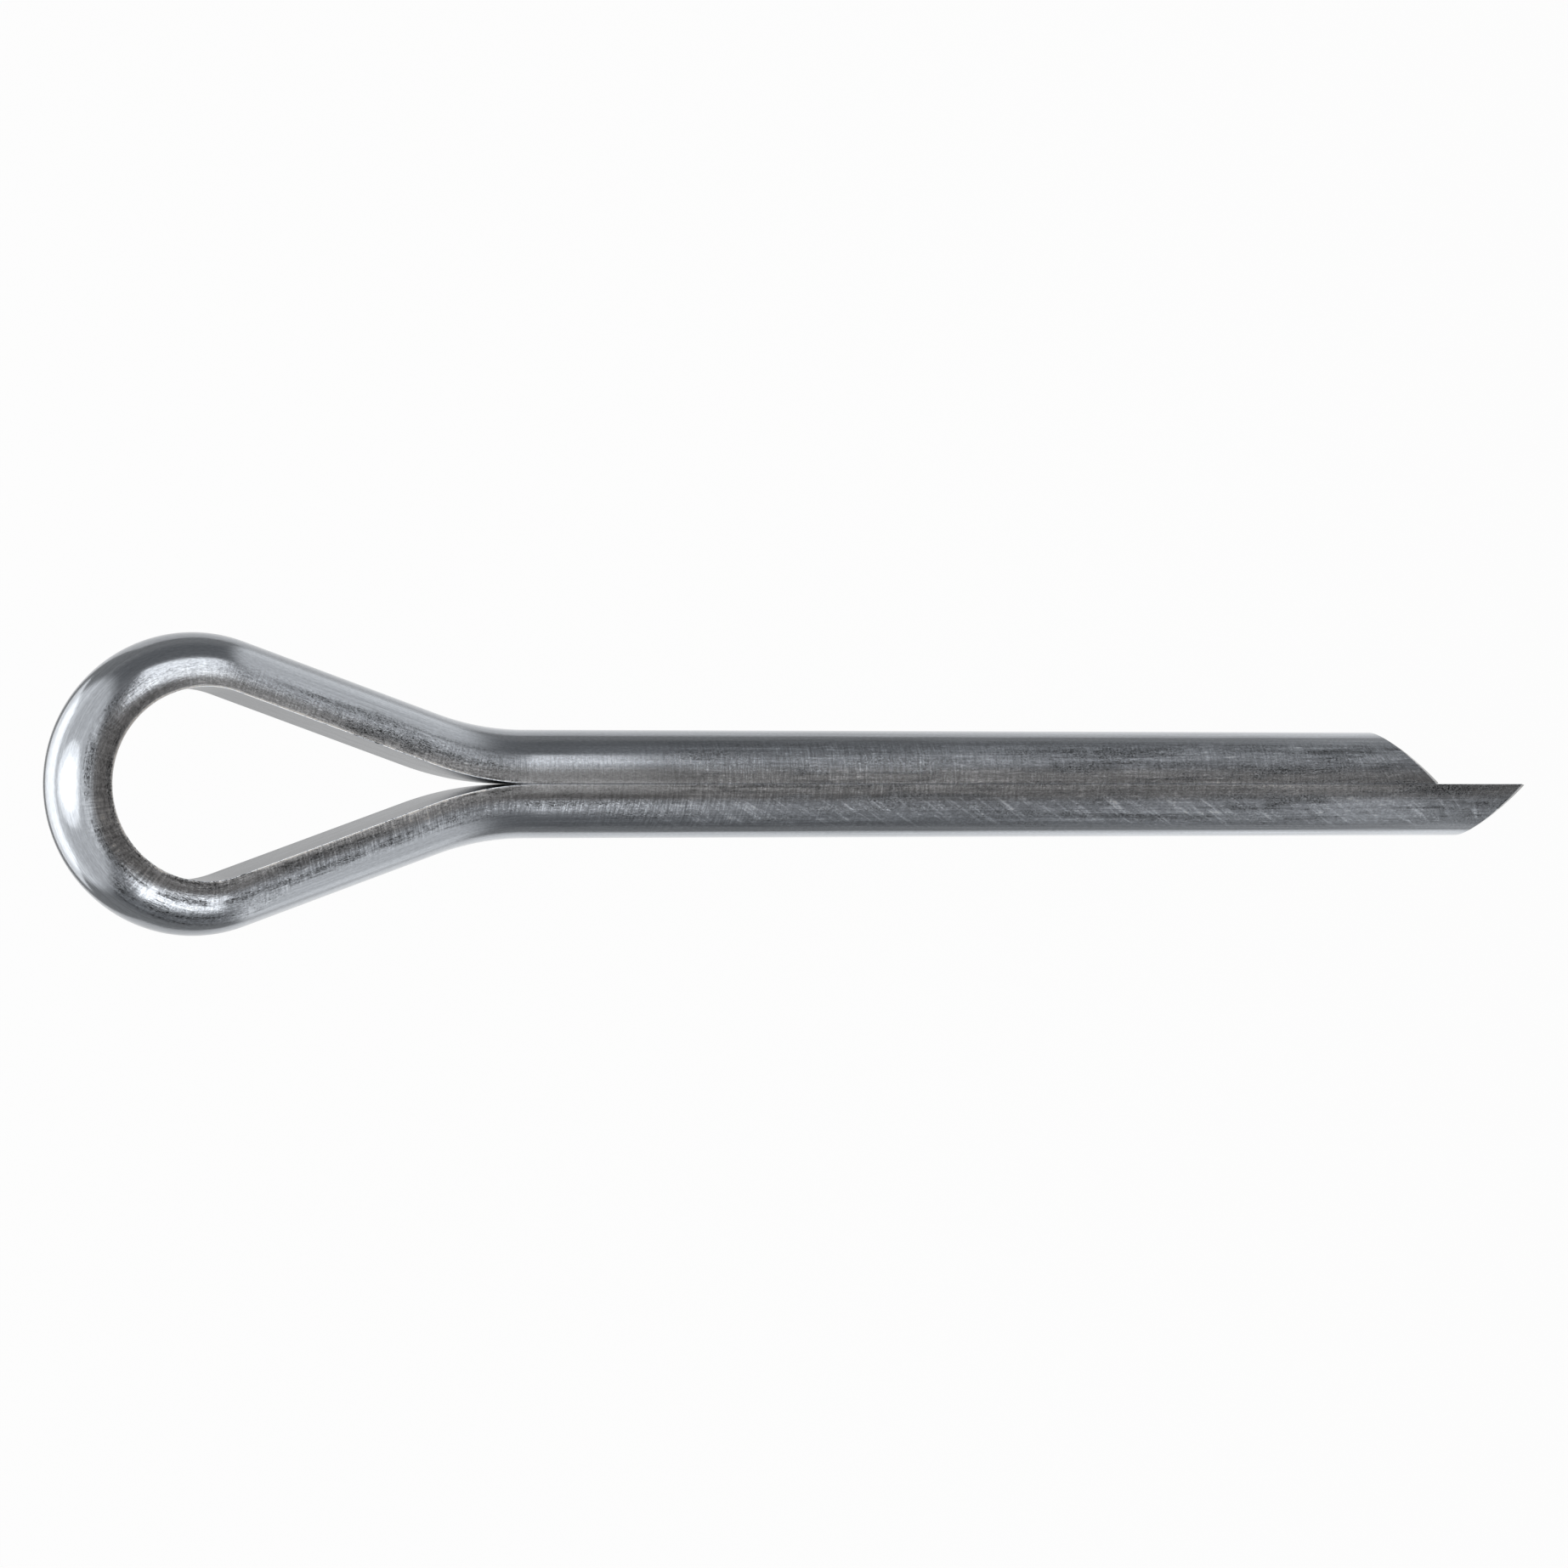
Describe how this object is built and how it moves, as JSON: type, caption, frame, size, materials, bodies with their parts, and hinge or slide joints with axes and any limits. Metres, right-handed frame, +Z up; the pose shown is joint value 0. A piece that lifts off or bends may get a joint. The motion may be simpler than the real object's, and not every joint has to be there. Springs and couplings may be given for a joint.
{
  "type": "cotter pin",
  "caption": "Half-round wire folded into a round eye and a split shank with unequal bevelled prongs, spread after insertion to lock a pin or nut.",
  "frame": {"origin": "on the shank's axis, where the two prongs come together at the end of the shoulders", "axes": "+X along the shank to the points, +Y towards the short prong, +Z up from the surface that the pin lies on; its bends are all in the XY plane"},
  "size_m": [0.0831, 0.0156, 0.0056],
  "materials": {
    "zinc_plated_steel": "bright zinc plating over drawn low-carbon steel wire, with fine scuffs and drawing lines"
  },
  "bodies": {
    "root": {"cotter_pin": "zinc_plated_steel"}
  },
  "joints": []
}
